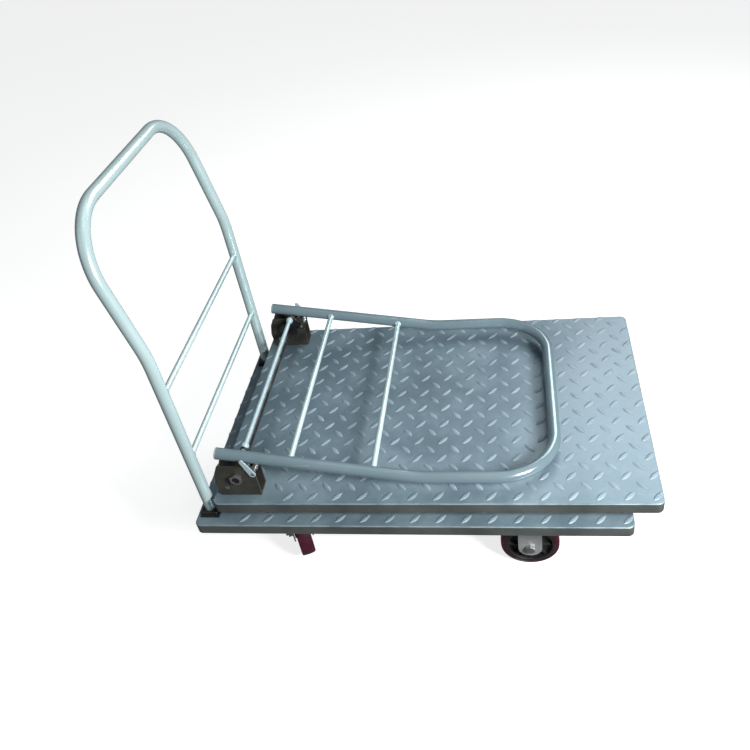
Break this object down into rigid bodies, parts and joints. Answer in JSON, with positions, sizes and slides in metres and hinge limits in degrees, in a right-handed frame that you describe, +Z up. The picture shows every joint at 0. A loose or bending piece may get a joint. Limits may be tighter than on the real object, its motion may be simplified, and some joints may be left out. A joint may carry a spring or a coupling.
{
  "type": "flatbed platform truck",
  "caption": "Nested pair of steel tread-plate platform trucks: lower one on casters with an upright loop handle, upper deck stacked on it with its loop handle folded flat.",
  "frame": {"origin": "on the floor under the middle of the whole nested pair's footprint", "axes": "+Z up; +X along the decks away from the upright handle; +Y to the far side, so the near wheels are at -Y"},
  "size_m": [0.9842, 0.614, 0.9125],
  "materials": {
    "deck_paint": "semi-gloss blue-grey paint on pressed tread plate",
    "frame_paint": "satin grey paint on folded channel",
    "handle_paint": "gloss pale blue-grey paint on steel tube",
    "crossbar_paint": "gloss pale blue-grey paint on steel rod",
    "bracket_paint": "dark grey-brown satin paint",
    "socket_paint": "satin black paint on steel",
    "zinc": "bright zinc plate",
    "fork_zinc": "zinc-plated pressed steel",
    "shaft_steel": "blackened steel",
    "chrome": "polished chrome plate",
    "bearing_steel": "ground bearing steel",
    "core_plastic": "moulded black nylon",
    "tyre_rubber": "dark red polyurethane tread",
    "plug_plastic": "moulded grey plastic"
  },
  "bodies": {
    "lower_truck": {"lower_deck_pan": "deck_paint", "lower_cross_channels": "frame_paint", "lower_side_ribs": "frame_paint", "lower_handle_sockets": "socket_paint", "lower_socket_clamp_screws": "zinc", "caster_bolts": "zinc", "caster_nuts": "zinc", "fixed_near_fork": "fork_zinc", "fixed_far_fork": "fork_zinc", "fixed_near_axle": "zinc", "fixed_far_axle": "zinc", "swivel_near_plate": "fork_zinc", "swivel_far_plate": "fork_zinc", "swivel_near_kingpin": "zinc", "swivel_far_kingpin": "zinc"},
    "lower_handle": {"lower_handle_tube": "handle_paint", "lower_handle_crossbar_low": "crossbar_paint", "lower_handle_crossbar_high": "crossbar_paint", "lower_handle_end_plugs": "plug_plastic"},
    "upper_truck": {"upper_deck_pan": "deck_paint", "upper_cross_channels": "frame_paint", "upper_side_ribs": "frame_paint", "bracket_bolts": "zinc", "hinge_bracket_near": "bracket_paint", "hinge_bracket_far": "bracket_paint", "hinge_stop_pins": "zinc", "latch_springs": "zinc"},
    "upper_handle": {"upper_handle_tube": "handle_paint", "upper_handle_crossbar_low": "crossbar_paint", "upper_handle_crossbar_high": "crossbar_paint", "upper_handle_end_plugs": "plug_plastic", "handle_lugs": "bracket_paint", "lock_discs": "shaft_steel", "pivot_shaft": "shaft_steel", "pivot_end_nuts": "zinc"},
    "latch": {"latch_pawls": "shaft_steel", "latch_pins": "zinc", "latch_levers": "zinc", "latch_toe_bar": "chrome"},
    "swivel_near": {"swivel_near_fork": "fork_zinc", "swivel_near_balls": "bearing_steel", "swivel_near_axle": "zinc"},
    "fixed_near_wheel": {"fixed_near_wheel_core": "core_plastic", "fixed_near_tyre": "tyre_rubber", "fixed_near_bearings": "bearing_steel"},
    "swivel_near_wheel": {"swivel_near_wheel_core": "core_plastic", "swivel_near_tyre": "tyre_rubber", "swivel_near_bearings": "bearing_steel"},
    "swivel_far": {"swivel_far_fork": "fork_zinc", "swivel_far_balls": "bearing_steel", "swivel_far_axle": "zinc"},
    "fixed_far_wheel": {"fixed_far_wheel_core": "core_plastic", "fixed_far_tyre": "tyre_rubber", "fixed_far_bearings": "bearing_steel"},
    "swivel_far_wheel": {"swivel_far_wheel_core": "core_plastic", "swivel_far_tyre": "tyre_rubber", "swivel_far_bearings": "bearing_steel"}
  },
  "joints": [
    {"name": "lower_handle_lift", "type": "slide", "parent": "lower_truck", "child": "lower_handle", "axis": [0, 0, 1], "range_m": [0, 0.055]},
    {"name": "upper_truck_lift_off", "type": "slide", "parent": "lower_truck", "child": "upper_truck", "axis": [0, 0, 1], "range_m": [0, 0.15]},
    {"name": "upper_handle_fold", "type": "hinge", "parent": "upper_truck", "child": "upper_handle", "pos_m": [-0.34595, 0.007, 0.3147], "axis": [0, -1, 0], "range_deg": [0, 100.6]},
    {"name": "latch_release", "type": "hinge", "parent": "upper_truck", "child": "latch", "pos_m": [-0.30795, 0.007, 0.3267], "axis": [0, 1, 0], "range_deg": [0, 12], "stiffness_Nm_per_rad": 1.2, "springref_deg": -20.05},
    {"name": "swivel_near_turn", "type": "hinge", "parent": "lower_truck", "child": "swivel_near", "pos_m": [-0.26195, -0.227, 0.14], "axis": [0, 0, 1], "continuous": true},
    {"name": "swivel_near_roll", "type": "hinge", "parent": "swivel_near", "child": "swivel_near_wheel", "pos_m": [-0.27773, -0.19464, 0.0625], "axis": [-0.8988, -0.4384, 0], "continuous": true},
    {"name": "fixed_near_roll", "type": "hinge", "parent": "lower_truck", "child": "fixed_near_wheel", "pos_m": [0.24205, -0.222, 0.0625], "axis": [0, 1, 0], "continuous": true},
    {"name": "swivel_far_turn", "type": "hinge", "parent": "lower_truck", "child": "swivel_far", "pos_m": [-0.26195, 0.213, 0.14], "axis": [0, 0, 1], "continuous": true},
    {"name": "swivel_far_roll", "type": "hinge", "parent": "swivel_far", "child": "swivel_far_wheel", "pos_m": [-0.27773, 0.24536, 0.0625], "axis": [-0.8988, -0.4384, 0], "continuous": true},
    {"name": "fixed_far_roll", "type": "hinge", "parent": "lower_truck", "child": "fixed_far_wheel", "pos_m": [0.24205, 0.208, 0.0625], "axis": [0, 1, 0], "continuous": true}
  ]
}
